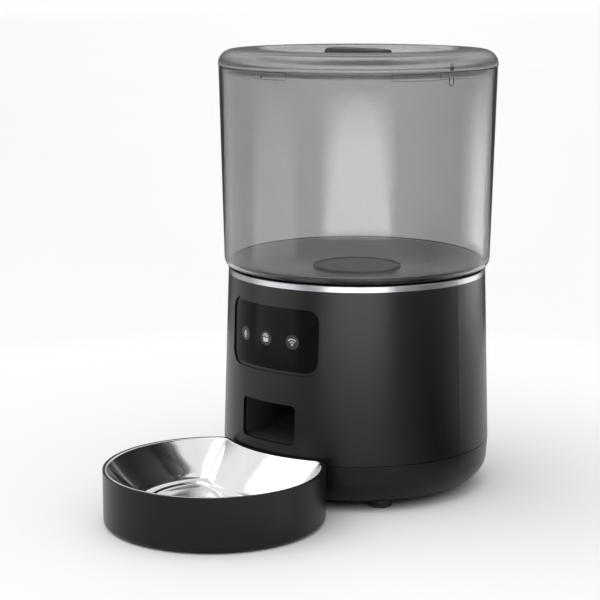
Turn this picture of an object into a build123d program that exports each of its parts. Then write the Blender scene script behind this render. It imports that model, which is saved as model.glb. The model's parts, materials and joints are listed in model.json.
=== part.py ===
from build123d import *
import math
import os

# Automatic pet feeder, in millimetres. +Z is up and the bowl is at the front, towards -Y.
# Pieces are drawn about the upright axis of the round base and moved into place when written.

# ---- base housing ----
foot_height = 4.5
foot_radius = 7.8
foot_angle = 54.0            # from the front and from the rear
foot_inset = 20.0            # feet inside the housing's widest line
seam_radius = 95.0           # widest line of the housing, where its two shells meet
seam_height = 33.2
seam_gap = 0.4
bottom_draft = 1.8           # lower corner of the bottom shell inside the seam, before rounding
bottom_rounding = 17.0
housing_taper = 3.9          # from the seam up to the bright ring
ring_height = 151.4          # lower edge of the bright ring
ring_depth = 4.0
ring_band = 1.9              # width of the bright ring's top edge
shell_wall = 2.5
lip_wall = 1.7
lip_height = 3.0

# ---- clearances ----
slip = 0.3                   # between pieces that part from each other
snug = 0.15                  # between fixed pieces that are dropped in
running = 0.05               # shaft in its bush, radial
thread_gap = 0.05            # screw in its hole, radial

# ---- screws ----
screw_radius = 1.5
screw_head_radius = 2.8
screw_head_height = 2.0
small_screw_radius = 1.0
small_head_radius = 1.9
small_head_height = 1.4
boss_radius = 4.5
screw_inset = 15.0           # base screws inside the housing's widest line

# ---- control panel ----
panel_half_angle = 24.6
panel_tall = 42.9
panel_drop = 13.4            # below the bright ring
panel_corner = 8.0
panel_bevel = 2.2
panel_reach = 40.0           # depth of the panel's cutters, short of the middle
panel_sink = 1.0             # lens below the housing's surface
lens_thickness = 2.0
pocket_floor = 2.0
button_angle = 14.1          # from one button to the next
button_row_turn = -1.3       # middle button's turn from the front
button_drop = 1.1            # buttons below the middle of the panel
button_radius = 5.2
button_flange_width = 1.4
button_flange_thickness = 1.0
button_flange_gap = 0.8
button_proud = 0.2
button_travel = 0.6
stem_radius = 2.0
board_thickness = 1.6
control_board_setback = 16.0  # behind the housing's surface at the buttons
control_board_half_width = 37.0
switch_size = 6.0
switch_height = 4.0

# ---- food outlet and chute ----
outlet_half_width = 24.2
outlet_tall = 27.4
outlet_rise = 7.4            # above the bowl holder's rim
outlet_corner = 3.5
chute_half_width = 20.0
chute_wall = 2.0
chute_flare_depth = 28.0     # behind the outlet
chute_inlet_front = 20.0
chute_inlet_rear = 6.0

# ---- metering drum ----
drum_radius = 22.5
drum_wall = 2.0
drum_end_gap = 1.2           # drum's end beyond the funnel
drum_drop = 37.0             # drum axis below the ring
collar_wall = 2.0
vane_gap = 1.2               # between a vane's tip and the drum
vane_thickness = 2.2
vane_count = 6
vane_end_gap = 0.8
hub_radius = 7.0
shaft_radius = 3.0
bush_radius = 5.0
bush_length = 4.0
cover_thickness = 2.5
gear_module = 1.5
gear_teeth = 40
pinion_teeth = 12
gear_width = 8.0
gear_gap = 4.5               # inner face of the gear beyond the bush
tooth_backlash = 0.35
motor_angle = 20.0           # motor axis below the drum axis, seen from the side
motor_radius = 12.5
motor_length = 48.0
motor_shaft_radius = 2.0
motor_boss_radius = 4.0
motor_screw_reach = 8.5      # motor screws above and below the motor's axis

# ---- deck ----
deck_thickness = 2.5
deck_sink = 0.5
deck_rim_wall = 2.3

# ---- tank ----
tank_wall = 2.2
tank_overhang = 2.7          # beyond the bright ring
tank_flare = 3.5             # from the tank's foot to its rim
tank_height = 140.6
tank_rounding = 7.0
spigot_gap = 0.5
spigot_wall = 2.4
spigot_depth = 3.0
neck_radius = 30.3
neck_wall = 2.0
neck_depth = 11.0            # neck end below the ring's top edge
floor_dish = 6.0
floor_thickness = 2.0
floor_rise = 5.0             # floor edge above the ring's top edge

# ---- lid ----
lid_overhang = 0.4
lid_height = 12.2
lid_shoulder = 10.5
crest_inset = 27.7
recess_slope = 6.0
recess_depth = 8.5
lid_wall = 2.2
grip_length = 52.0
grip_width = 13.0
skirt_gap = 2.2              # between the liner's skirt and the tank
liner_wall = 2.0
liner_depth = 4.0
lug_count = 4
lug_angle = 46.0
lug_height = 1.4
seal_height = 1.2
twist_seam = 0.5

# ---- bowl ----
bowl_reach = 143.2           # bowl centre in front of the housing axis
holder_radius = 74.3
holder_top = 37.2
holder_wall = 2.4
holder_floor = 2.2
holder_corner = 10.0
holder_gap = 0.9             # between the holder and the housing
pad_height = 1.5
pad_radius = 6.0
pad_inset = 20.0             # pads inside the holder's outline
lip_thickness = 1.1
lip_depth = 0.9
steel = 0.8
bowl_depth = 25.0
bowl_flare = 21.0
bowl_step = 4.0
step_drop = 1.6
tongue_half_width = 20.0
tongue_thickness = 3.0
tongue_low = 10.0
tongue_length = 14.0

# ---- battery bay ----
cell_diameter = 34.2
cell_length = 61.5
cell_count = 3
cell_gap = 1.1
contact_thickness = 0.8
spring_length = 7.0
bay_wall = 2.0
bay_front = 36.0
door_thickness = 2.0
door_gap = 0.4
door_pin_radius = 0.8

# ---- electronics ----
main_board_height = 52.0
main_board_half_width = 30.0
main_board_front = 22.0
main_board_gap = 12.0        # between the board and the housing's surface
jack_width = 9.0
jack_height = 11.0
jack_bore = 2.9
jack_nose = 4.6
jack_pin = 1.0
speaker_radius = 17.0
sound_hole_radius = 1.2
speaker_x = -57.5

# ---- worked out from the above ----
bottom_radius = seam_radius - bottom_draft
foot_circle = seam_radius - foot_inset
ring_radius = seam_radius - housing_taper
panel_high = ring_height - panel_drop
panel_low = panel_high - panel_tall
panel_middle = (panel_low + panel_high) / 2
button_height = panel_middle - button_drop
button_angles = [button_row_turn + step * button_angle for step in (-1, 0, 1)]
outlet_low = holder_top + outlet_rise
outlet_high = outlet_low + outlet_tall
deck_top = ring_height + ring_depth
deck_rim_outer = ring_radius - ring_band
deck_rim_inner = deck_rim_outer - deck_rim_wall
tank_low_radius = ring_radius + tank_overhang
tank_top_radius = tank_low_radius + tank_flare
tank_top = deck_top + tank_height
spigot_outer = deck_rim_inner - spigot_gap
spigot_inner = spigot_outer - spigot_wall
lid_radius = tank_top_radius + lid_overhang
lid_top = tank_top + lid_height
crest_radius = lid_radius - crest_inset
recess_radius = crest_radius - recess_slope
drum_height = ring_height - drum_drop
drum_half_width = neck_radius + collar_wall + drum_end_gap
vane_radius = drum_radius - vane_gap
gear_offset = drum_half_width + bush_length + gear_gap
button_flange_radius = button_radius + button_flange_width
beyond = seam_radius + 20.0  # safely outside the housing
gear_distance = gear_module * (gear_teeth + pinion_teeth) / 2
motor_y = gear_distance * math.cos(math.radians(motor_angle))
motor_z = drum_height - gear_distance * math.sin(math.radians(motor_angle))
bite_radius = seam_radius + holder_gap
floor_edge = deck_top + floor_rise
bay_length = cell_count * (cell_diameter + cell_gap)
bay_rear = bay_length - bay_front
bay_half_width = (cell_length + contact_thickness + spring_length) / 2
bay_top = foot_height + shell_wall + cell_diameter + cell_gap
front_reach = bowl_reach + holder_radius
axis_y = (front_reach - lid_radius) / 2


# ---- drawing helpers ----
def lathe(*corners):
    """Solid of revolution about +Z from (radius, height) corners, each with an optional rounding."""
    points = [corner[:2] for corner in corners]
    rounding = [corner[2] if len(corner) == 3 else 0 for corner in corners]
    if any(rounding):
        outline = FilletPolyline(*points, radius=rounding, close=True)
    else:
        outline = Polyline(*points, close=True)
    return revolve(Plane.XZ * make_face(outline), Axis.Z)


def block(x, y, z):
    """Box between three pairs of limits."""
    size = [high - low for low, high in (x, y, z)]
    return Pos(x[0], y[0], z[0]) * Box(*size, align=(Align.MIN, Align.MIN, Align.MIN))


def rod(radius, low, high, x=0, y=0):
    """Upright cylinder."""
    return Pos(x, y, low) * Cylinder(radius, high - low, align=(Align.CENTER, Align.CENTER, Align.MIN))


def pipe(inner, outer, low, high, x=0, y=0):
    """Upright tube."""
    return rod(outer, low, high, x, y) - rod(inner, low, high, x, y)


def cross_rod(radius, left, right, y, z):
    """Cylinder along X."""
    return Pos(left, y, z) * Rot(0, 90, 0) * rod(radius, 0, right - left)


def fore_rod(radius, front, rear, x, z):
    """Cylinder along Y."""
    return Pos(x, front, z) * Rot(-90, 0, 0) * rod(radius, 0, rear - front)


def turned(solid, angle):
    """Turn a piece drawn at the front about the upright axis, towards +X."""
    return Rot(0, 0, angle) * solid


def window(half_width, low, high, corner, front, rear):
    """Rounded rectangular prism along Y."""
    face = RectangleRounded(2 * half_width, high - low, corner)
    return Pos(0, rear, (low + high) / 2) * extrude(Plane.XZ * face, amount=rear - front)


def screw(radius, head_radius, head_height, length):
    """Pan-head screw pointing down, its head resting on z = 0, with a cross recess."""
    slot = block((-head_radius * 0.6, head_radius * 0.6), (-0.3, 0.3), (head_height * 0.5, head_height))
    head = rod(head_radius, 0, head_height) - slot - Rot(0, 0, 90) * slot
    return head + rod(radius, -length, 0)


def long_screw(length):
    return screw(screw_radius, screw_head_radius, screw_head_height, length)


def small_screw(length):
    return screw(small_screw_radius, small_head_radius, small_head_height, length)


def base_radius(height):
    """Outer radius of the tapered housing."""
    share = (height - seam_height) / (ring_height - seam_height)
    return seam_radius + (ring_radius - seam_radius) * share


def housing_core(inset, low=seam_height, high=ring_height):
    """Everything inside the tapered housing's surface, less an inset."""
    return lathe((0, low), (base_radius(low) - inset, low), (base_radius(high) - inset, high), (0, high))


def save(name, *solids):
    """Write one node, moved so that the object stands over the frame's origin."""
    placed = [Pos(0, axis_y, 0) * solid for solid in solids]
    export_step(placed[0] if len(placed) == 1 else Compound(children=placed), f"parts/{name}.step")


# ---- shared places ----
panel_half_width = base_radius(panel_middle) * math.sin(math.radians(panel_half_angle))
control_board_front = base_radius(button_height) - control_board_setback
main_board_rear = base_radius(main_board_height) - main_board_gap
chute_flare_start = base_radius(outlet_low) - chute_flare_depth
screw_circle = seam_radius - screw_inset
base_screw_spots = [(screw_circle * math.sin(math.radians(a)), -screw_circle * math.cos(math.radians(a)))
                    for a in (-40, 40, 140, 220)]
base_screw_seat = 26.0
boss_low = seam_height + lip_height + 0.3
boss_high = 48.0
bay_post_radius = 3.5
bay_post_x = bay_half_width + bay_wall + bay_post_radius
bay_post_spots = [(side * bay_post_x, y) for side in (-1, 1) for y in (-26.0, bay_rear - 12.0)]
bay_post_top = 14.0
ear_thickness = 2.5
board_post_spots = [(side * 26.0, y) for side in (-1, 1) for y in (28.0, 64.0)]
control_post_spots = [(side * 32.0, height) for side in (-1, 1) for height in (panel_low + 9, panel_high - 9)]
drum_ear_circle = neck_radius + neck_wall + collar_wall + 4.2
drum_ear_spots = [(drum_ear_circle * math.cos(math.radians(a)), drum_ear_circle * math.sin(math.radians(a)))
                  for a in (45, 135, 225, 315)]
drum_ear_low = ring_height - deck_sink - deck_thickness - 3.0
cover_ear_angles = (50, 165, 250)
cover_ear_circle = drum_radius + drum_wall + 2.6
cover_ear_length = 5.0
foot_angles = (foot_angle, -foot_angle, 180 - foot_angle, 180 + foot_angle)
deck_low = ring_height - deck_sink - deck_thickness
collar_inner = neck_radius + neck_wall + 0.7
neck_end = deck_top - neck_depth
collar_low = neck_end - 2.0
jack_z = main_board_height + board_thickness + jack_height / 2
door_axis_z = foot_height + shell_wall / 2
door_axis_y = bay_rear - door_gap - door_thickness / 2
cell_axis = foot_height + shell_wall + cell_diameter / 2
skirt_outer = tank_top_radius - tank_wall - skirt_gap
motor_screw_places = [(motor_y, motor_z + side * motor_screw_reach) for side in (-1, 1)]
pad_circle = holder_radius - pad_inset
pad_spots = [(pad_circle * math.sin(math.radians(a)), -bowl_reach - pad_circle * math.cos(math.radians(a)))
             for a in (29, -29, 101, -101)]


def bottom_outer():
    return lathe((0, foot_height), (bottom_radius, foot_height, bottom_rounding),
                 (seam_radius, seam_height - seam_gap), (0, seam_height - seam_gap))


def bottom_inner():
    floor = foot_height + shell_wall
    return lathe((0, floor), (bottom_radius - shell_wall, floor, bottom_rounding - shell_wall),
                 (seam_radius - shell_wall, seam_height + lip_height), (0, seam_height + lip_height))


def tongue(clearance):
    """Catch under the bowl holder that enters the housing's front."""
    half = tongue_half_width + clearance
    low = tongue_low - clearance
    high = tongue_low + tongue_thickness + clearance
    return block((-half, half), (-bite_radius - 1.0, -bite_radius + tongue_length + clearance), (low, high))


def door_opening(clearance):
    half = bay_half_width - clearance
    depth = (-bay_front + clearance, bay_rear - clearance)
    return block((-half, half), depth, (0, foot_height + shell_wall + 0.01))


# ---- base housing pieces ----
def bottom_shell():
    floor = foot_height + shell_wall
    shell = bottom_outer() - bottom_inner()
    below_shell = rod(beyond, 0, seam_height - 4) - bottom_outer()
    lip_outer = seam_radius - shell_wall - snug
    shell += lathe((lip_outer - lip_wall, seam_height - 4), (lip_outer + 1, seam_height - 4),
                   (lip_outer + 1, seam_height - seam_gap), (lip_outer, seam_height - seam_gap),
                   (lip_outer, seam_height + lip_height), (lip_outer - lip_wall, seam_height + lip_height))
    for x, y in base_screw_spots:
        shell += rod(boss_radius, floor - 0.5, boss_low, x, y) - below_shell
        shell -= rod(screw_head_radius + slip, 0, base_screw_seat, x, y)
        shell -= rod(screw_radius + thread_gap, 0, boss_low, x, y)
    for x, y in bay_post_spots:
        shell += rod(bay_post_radius, floor - 0.5, bay_post_top, x, y)
        shell -= rod(screw_radius + thread_gap, floor + 1, bay_post_top, x, y)
    shell += pipe(speaker_radius + snug, speaker_radius + snug + 1.2, floor - 0.5, floor + 3, speaker_x)
    for circle, count in ((0, 1), (5, 6), (10, 12)):
        for i in range(count):
            turn = 2 * math.pi * i / count
            x = speaker_x + circle * math.cos(turn)
            shell -= rod(sound_hole_radius, 0, floor, x, circle * math.sin(turn))
    shell -= door_opening(0)
    pin_end = bay_half_width + 1.5
    shell -= cross_rod(door_pin_radius + running, -pin_end, pin_end, door_axis_y, door_axis_z)
    return shell - tongue(slip)


def body_shell():
    shell = housing_core(0) - housing_core(shell_wall)
    pad = window(panel_half_width + 3, panel_low - 3, panel_high + 3, panel_corner + 3, -beyond, -panel_reach)
    pad &= housing_core(shell_wall - 0.2) - housing_core(panel_sink + lens_thickness + pocket_floor)
    shell += pad
    for x, height in control_post_spots:
        shell += fore_rod(3.0, -control_board_front - 9, -control_board_front, x, height) & housing_core(1.0)
    pocket = window(panel_half_width, panel_low, panel_high, panel_corner, -beyond, -panel_reach)
    shell -= pocket - housing_core(panel_sink + lens_thickness)
    bevel = window(panel_half_width + panel_bevel, panel_low - panel_bevel, panel_high + panel_bevel,
                   panel_corner + panel_bevel, -beyond, -panel_reach)
    shell -= bevel - housing_core(panel_sink)
    hole = small_screw_radius + thread_gap
    for x, height in control_post_spots:
        shell -= fore_rod(hole, -control_board_front - 4, -control_board_front, x, height)
    for angle in button_angles:
        shell -= button_bore(angle, button_radius + slip)
    shell -= window(outlet_half_width, outlet_low, outlet_high, outlet_corner, -beyond, -chute_flare_start)
    shell -= fore_rod(jack_nose + slip, main_board_rear, beyond, 0, jack_z)
    for x, y in base_screw_spots:
        boss = rod(boss_radius, boss_low, boss_high, x, y)
        turn = math.degrees(math.atan2(x, -y))
        web = turned(block((-1.2, 1.2), (-seam_radius + 1.5, -screw_circle), (boss_low, boss_high)), turn)
        shell += boss + (web & housing_core(1.0, boss_low, boss_high))
        shell -= rod(screw_radius + thread_gap, boss_low, boss_high - 2, x, y)
    return shell


def button_bore(angle, radius):
    """Cylinder along a button's own line, from outside the housing to behind the pocket."""
    return turned(fore_rod(radius, -beyond, -control_board_front, 0, button_height), angle)


def chrome_ring():
    return lathe((deck_rim_outer + snug, ring_height), (ring_radius, ring_height),
                 (ring_radius, deck_top, 0.5), (deck_rim_outer + snug, deck_top))


def deck():
    """Top plate of the base: carries the drum below and the tank above."""
    under_rim = ring_radius - shell_wall - snug
    plate = lathe((collar_inner, deck_low), (under_rim, deck_low), (under_rim, ring_height),
                  (deck_rim_outer, ring_height), (deck_rim_outer, deck_top), (deck_rim_inner, deck_top),
                  (deck_rim_inner, ring_height - deck_sink), (collar_inner, ring_height - deck_sink))
    for x, y in drum_ear_spots:
        plate -= rod(screw_radius + thread_gap, deck_low, ring_height, x, y)
    return plate


def rubber_feet():
    top = foot_height + 4
    foot = Pos(0, -foot_circle, 0) * lathe((0, 0), (foot_radius, 0, 0.8), (foot_radius, top), (0, top))
    foot -= bottom_outer()
    return [turned(foot, angle) for angle in foot_angles]


def base_screws():
    length = boss_high - 4 - base_screw_seat
    return [Pos(x, y, base_screw_seat) * Rot(180, 0, 0) * long_screw(length) for x, y in base_screw_spots]


# ---- control panel pieces ----
def control_panel():
    lens = window(panel_half_width - snug, panel_low + snug, panel_high - snug, panel_corner - snug,
                  -beyond, -panel_reach)
    lens &= housing_core(panel_sink) - housing_core(panel_sink + lens_thickness)
    for angle in button_angles:
        lens -= button_bore(angle, button_radius + slip)
    return lens


def button(angle):
    """Domeless push cap with a retaining flange and a stem that reaches towards its switch."""
    surface = base_radius(button_height)
    face = surface - panel_sink + button_proud
    flange = surface - panel_sink - lens_thickness - pocket_floor - button_flange_gap
    lean = math.radians(abs(angle))
    tip = (control_board_front + switch_height) / math.cos(lean) + stem_radius * math.tan(lean)
    tip += button_travel + 0.15
    low = flange - 0.5
    cap = Rot(90, 0, 0) * lathe((0, low), (button_radius, low), (button_radius, face, 0.4), (0, face))
    cap += Rot(90, 0, 0) * rod(button_flange_radius, flange - button_flange_thickness, flange)
    cap += Rot(90, 0, 0) * rod(stem_radius, tip, flange)
    return turned(Pos(0, 0, button_height) * cap, angle)


def control_board():
    low = panel_low + 4
    high = panel_high - 4
    half = control_board_half_width
    board = block((-half, half), (-control_board_front, -control_board_front + board_thickness), (low, high))
    for x, height in control_post_spots:
        board -= fore_rod(small_screw_radius + slip, -beyond, -panel_reach, x, height)
    return board


def tact_switches():
    switches = []
    for angle in button_angles:
        lean = math.radians(angle)
        x = (control_board_front + switch_height) * math.tan(lean)
        half = switch_size / 2
        rear = -control_board_front
        body = block((x - half, x + half), (rear - 3, rear), (button_height - half, button_height + half))
        switches.append(body + fore_rod(1.7, rear - switch_height, rear - 3, x, button_height))
    return switches


def microphone():
    rear = -control_board_front
    height = panel_low + 10
    capsule = fore_rod(3.0, rear - 2.7, rear, -10, height)
    return capsule - fore_rod(0.8, rear - 2.7, rear - 1.9, -10, height)


def control_screws():
    rear = -control_board_front + board_thickness
    return [Pos(x, rear, height) * Rot(-90, 0, 0) * small_screw(4.5) for x, height in control_post_spots]


# ---- metering drum pieces ----
def drum_case():
    inner = drum_radius
    outer = drum_radius + drum_wall
    end = drum_half_width
    funnel_low = drum_height + 12
    mouth = neck_radius
    throat = drum_radius - 1.5
    case = cross_rod(outer, -end - drum_wall, end, 0, drum_height)
    collar_outer = collar_inner + collar_wall
    case += lathe((0, funnel_low), (throat + drum_wall, funnel_low), (mouth + collar_wall, collar_low - 2),
                  (collar_outer, collar_low - 2), (collar_outer, deck_low), (0, deck_low))
    for x, y in drum_ear_spots:
        case += rod(boss_radius, drum_ear_low, deck_low, x, y)
    for angle in cover_ear_angles:
        y, z = ear_place(angle)
        case += cross_rod(3.4, end - cover_ear_length, end, y, z)
    case -= cross_rod(inner, -end, end, 0, drum_height)
    case -= lathe((0, funnel_low - 3), (throat - 1.5, funnel_low - 3), (mouth, collar_low),
                  (collar_inner, collar_low), (collar_inner, deck_low), (0, deck_low))
    for x, y in drum_ear_spots:
        case -= rod(screw_radius + thread_gap, drum_ear_low, deck_low, x, y)
    for angle in cover_ear_angles:
        y, z = ear_place(angle)
        case -= cross_rod(small_screw_radius + thread_gap, end - cover_ear_length, end, y, z)
    case -= cross_rod(bush_radius, -end - drum_wall, -end, 0, drum_height)
    half = chute_half_width
    heights = (drum_height - outer - 1, drum_height - 9)
    return case - block((-half, half), (-chute_inlet_front, chute_inlet_rear), heights)


def ear_place(angle):
    turn = math.radians(angle)
    return cover_ear_circle * math.cos(turn), drum_height + cover_ear_circle * math.sin(turn)


def drum_cover():
    """End plate that closes the drum and carries the motor."""
    low = drum_half_width
    high = low + cover_thickness
    plate = cross_rod(drum_radius + drum_wall + 0.4, low, high, 0, drum_height)
    for angle in cover_ear_angles:
        plate += cross_rod(3.4, low, high, *ear_place(angle))
    plate += cross_rod(motor_radius + 1.5, low, high, motor_y, motor_z)
    arm = block((low, high), (0, gear_distance), (-motor_radius - 1.5, motor_radius + 1.5))
    plate += Pos(0, 0, drum_height) * Rot(-motor_angle, 0, 0) * arm
    plate -= cross_rod(bush_radius, low, high, 0, drum_height)
    plate -= cross_rod(motor_boss_radius + snug, low, high, motor_y, motor_z)
    for angle in cover_ear_angles:
        plate -= cross_rod(small_screw_radius + thread_gap, low, high, *ear_place(angle))
    for y, z in motor_screw_places:
        plate -= cross_rod(small_screw_radius + thread_gap, low, high, y, z)
    return plate


def cover_screws():
    face = drum_half_width + cover_thickness
    length = cover_thickness + cover_ear_length - 0.5
    places = [ear_place(angle) for angle in cover_ear_angles]
    return [Pos(face, y, z) * Rot(0, 90, 0) * small_screw(length) for y, z in places]


def motor_screws():
    face = drum_half_width + cover_thickness
    return [Pos(face, y, z) * Rot(0, 90, 0) * small_screw(6) for y, z in motor_screw_places]


def shaft_bushes():
    left = -drum_half_width - drum_wall
    right = drum_half_width
    ends = ((left - bush_length + drum_wall, left + drum_wall), (right, right + bush_length))
    bore = cross_rod(shaft_radius + running, -beyond, beyond, 0, drum_height)
    return [cross_rod(bush_radius, low, high, 0, drum_height) - bore for low, high in ends]


def gear_motor():
    face = drum_half_width
    motor = cross_rod(motor_radius, face - 20, face, motor_y, motor_z)
    motor += cross_rod(motor_radius - 1.2, face - motor_length, face - 20, motor_y, motor_z)
    motor += cross_rod(motor_boss_radius, face, face + cover_thickness + 0.6, motor_y, motor_z)
    motor += cross_rod(3.0, face - motor_length - 2, face - motor_length, motor_y, motor_z)
    motor -= cross_rod(motor_shaft_radius + running, face - 6, face + cover_thickness + 1, motor_y, motor_z)
    for y, z in motor_screw_places:
        motor -= cross_rod(small_screw_radius + thread_gap, face - 4, face, y, z)
    return motor


def involute(base, radius, half_angle):
    """Point of a tooth's right flank at a radius; half_angle is half the tooth at the base circle."""
    roll = math.sqrt(max((radius / base) ** 2 - 1, 0))
    turn = half_angle - (roll - math.atan(roll))
    return radius, turn


def gear_blank(teeth, width, bore, phase):
    """Spur gear about +Z with involute flanks, thinned a little for backlash."""
    pitch = gear_module * teeth / 2
    pressure = math.radians(20)
    base = pitch * math.cos(pressure)
    tip = pitch + 0.85 * gear_module
    root = pitch - 1.25 * gear_module
    spread = math.tan(pressure) - pressure
    half = (math.pi * gear_module / 2 - tooth_backlash) / (2 * pitch) + spread
    start = max(base, root + 0.1)
    radii = [start + (tip - start) * share for share in (0, 0.2, 0.45, 0.7, 1)]
    flank = [(root, half)] + [involute(base, radius, half) for radius in radii]
    profile = flank + [(radius, -turn) for radius, turn in reversed(flank)]
    points = []
    for tooth in range(teeth):
        centre = 2 * math.pi * tooth / teeth + math.radians(phase)
        turns = [(radius, centre - turn) for radius, turn in profile]
        points += [(radius * math.cos(turn), radius * math.sin(turn)) for radius, turn in turns]
    return extrude(make_face(Polyline(*points, close=True)), width) - rod(bore, 0, width)


def along_x(solid, left, y, z):
    """Stand a +Z piece along +X, its own +X turned to +Y."""
    return Pos(left, y, z) * Rot(90, 90, 0) * solid


def driven_gear():
    hub_start = drum_half_width + bush_length + 0.3
    gear = gear_blank(gear_teeth, gear_width, shaft_radius, -motor_angle)
    gear -= pipe(9, 24, 0, 2.5)
    gear -= pipe(9, 24, gear_width - 2.5, gear_width)
    gear += pipe(shaft_radius, 6.5, hub_start - gear_offset, 0)
    return along_x(gear, gear_offset, 0, drum_height)


def pinion():
    opposite = 180 - motor_angle + 180 / pinion_teeth
    gear = gear_blank(pinion_teeth, gear_width + 1, motor_shaft_radius, opposite)
    return along_x(gear, gear_offset - 0.5, motor_y, motor_z)


def motor_shaft():
    end = gear_offset + gear_width + 2
    return cross_rod(motor_shaft_radius, drum_half_width - 5.8, end, motor_y, motor_z)


def drive_shaft():
    left = -drum_half_width - bush_length - 3
    return cross_rod(shaft_radius, left, gear_offset + gear_width + 2, 0, drum_height)


def shaft_clips():
    left = -drum_half_width - bush_length - 1.3
    right = gear_offset + gear_width
    clips = [cross_rod(5.2, left, left + 1, 0, drum_height), cross_rod(5.2, right, right + 1, 0, drum_height)]
    return [clip - cross_rod(shaft_radius, -beyond, beyond, 0, drum_height) for clip in clips]


def impeller():
    """Soft wheel with straight vanes that carries food round the drum."""
    half = drum_half_width - vane_end_gap
    wheel = cross_rod(hub_radius, -half, half, 0, 0)
    for i in range(vane_count):
        vane = block((-half, half), (-vane_thickness / 2, vane_thickness / 2), (hub_radius - 1, vane_radius))
        wheel += Rot(360 * i / vane_count + 30, 0, 0) * vane
    wheel -= cross_rod(shaft_radius, -half, half, 0, 0)
    return Pos(0, 0, drum_height) * wheel


def drum_screws():
    length = deck_low - drum_ear_low + deck_thickness - 0.3
    return [Pos(x, y, drum_ear_low) * Rot(180, 0, 0) * long_screw(length) for x, y in drum_ear_spots]


def chute_space(wall):
    """The chute's passage, grown by a wall."""
    side = [(chute_inlet_rear, drum_height), (chute_inlet_rear, drum_height - 28),
            (-chute_flare_start, outlet_low + 2.5), (-chute_flare_start - 14, outlet_low),
            (-beyond, outlet_low), (-beyond, outlet_high), (-chute_flare_start + 6, outlet_high + 2),
            (-chute_inlet_front, drum_height - 26), (-chute_inlet_front, drum_height)]
    half = chute_half_width
    flare = outlet_half_width + (outlet_half_width - half) * (beyond - base_radius(outlet_low)) / (
        base_radius(outlet_low) - chute_flare_start)
    plan = [(half, 40), (half, -chute_flare_start), (flare, -beyond),
            (-flare, -beyond), (-half, -chute_flare_start), (-half, 40)]
    side_face = make_face(Polyline(*side, close=True))
    plan_face = make_face(Polyline(*plan, close=True))
    if wall:
        side_face = offset(side_face, wall, kind=Kind.INTERSECTION)
        plan_face = offset(plan_face, wall, kind=Kind.INTERSECTION)
    return extrude(Plane.YZ * side_face, 60, both=True) & extrude(plan_face, 200)


def food_chute():
    chute = chute_space(chute_wall) & housing_core(shell_wall + snug, seam_height, ring_height)
    chute -= chute_space(0)
    return chute - cross_rod(drum_radius + drum_wall + snug, -beyond, beyond, 0, drum_height)


# ---- battery bay pieces ----
def battery_box():
    floor = foot_height + shell_wall
    half = bay_half_width
    outer = half + bay_wall
    box = block((-outer, outer), (-bay_front - bay_wall, bay_rear + bay_wall), (floor, bay_top + bay_wall))
    for x, y in bay_post_spots:
        side = math.copysign(1, x)
        ear_top = bay_post_top + ear_thickness
        reach = (y - bay_post_radius, y + bay_post_radius)
        ear = block(sorted((side * half, x)), reach, (bay_post_top, ear_top))
        box += ear + rod(bay_post_radius, bay_post_top, ear_top, x, y)
        box -= rod(screw_radius + thread_gap, bay_post_top, ear_top, x, y)
    for x, y in board_post_spots:
        box += rod(3.0, bay_top, main_board_height, x, y)
        box -= rod(small_screw_radius + thread_gap, main_board_height - 5, main_board_height, x, y)
    box -= block((-half, half), (-bay_front, bay_rear), (0, bay_top))
    box -= bottom_outer() - bottom_inner()
    for i in range(1, cell_count):
        y = -bay_front + i * bay_length / cell_count
        rib = block((-half, half), (y - 0.5, y + 0.5), (bay_top - 6, bay_top))
        box += rib
    return box


def cell_rows():
    return [-bay_front + (i + 0.5) * bay_length / cell_count for i in range(cell_count)]


def battery_contacts():
    plates = []
    for i, y in enumerate(cell_rows()):
        side = 1 if i % 2 == 0 else -1
        x = sorted((side * bay_half_width, side * (bay_half_width - contact_thickness)))
        plate = block(x, (y - 9, y + 9), (cell_axis - 10, bay_top))
        bump_x = side * (bay_half_width - contact_thickness)
        bump = cross_rod(4, *sorted((bump_x, bump_x - side * 0.8)), y, cell_axis)
        plates.append(plate + bump)
    return plates


def battery_springs():
    springs = []
    wire = 0.5
    for i, y in enumerate(cell_rows()):
        side = -1 if i % 2 == 0 else 1
        height = spring_length - 2 * wire - contact_thickness
        coil = Helix(pitch=2.2, height=height, radius=6.5, cone_angle=-22)
        start = Plane(origin=coil @ 0, z_dir=coil % 0)
        spring = sweep(start * Circle(wire), path=coil)
        base = rod(8.5, -wire - contact_thickness, -wire * 0.6)
        turn = -90 if side > 0 else 90
        x = side * (bay_half_width - contact_thickness - wire)
        springs.append(Pos(x, y, cell_axis) * Rot(0, turn, 0) * (spring + base))
    return springs


def bay_screws():
    seat = bay_post_top + ear_thickness
    return [Pos(x, y, seat) * long_screw(8.0) for x, y in bay_post_spots]


def battery_door():
    half = bay_half_width - door_gap
    low = door_axis_z - door_thickness / 2
    high = door_axis_z + door_thickness / 2
    door = block((-half, half), (-bay_front + door_gap, door_axis_y), (low, high))
    door += cross_rod(door_thickness / 2, -half, half, door_axis_y, door_axis_z)
    door += cross_rod(door_pin_radius, -bay_half_width - 1.2, bay_half_width + 1.2, door_axis_y, door_axis_z)
    finger = Pos(0, -bay_front + door_gap + 9, low) * Sphere(7.5)
    door -= finger & block((-8, 8), (-bay_front, -bay_front + 20), (low - 1, low + 1.2))
    for i in range(4):
        y = -bay_front + 24 + i * 4
        door -= block((-9, 9), (y, y + 1.2), (low, low + 0.5))
    return door


# ---- electronics ----
def main_board():
    z = (main_board_height, main_board_height + board_thickness)
    half = main_board_half_width
    board = block((-half, half), (main_board_front, main_board_rear), z)
    for x, y in board_post_spots:
        board -= rod(small_screw_radius + slip, *z, x, y)
    return board


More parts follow.
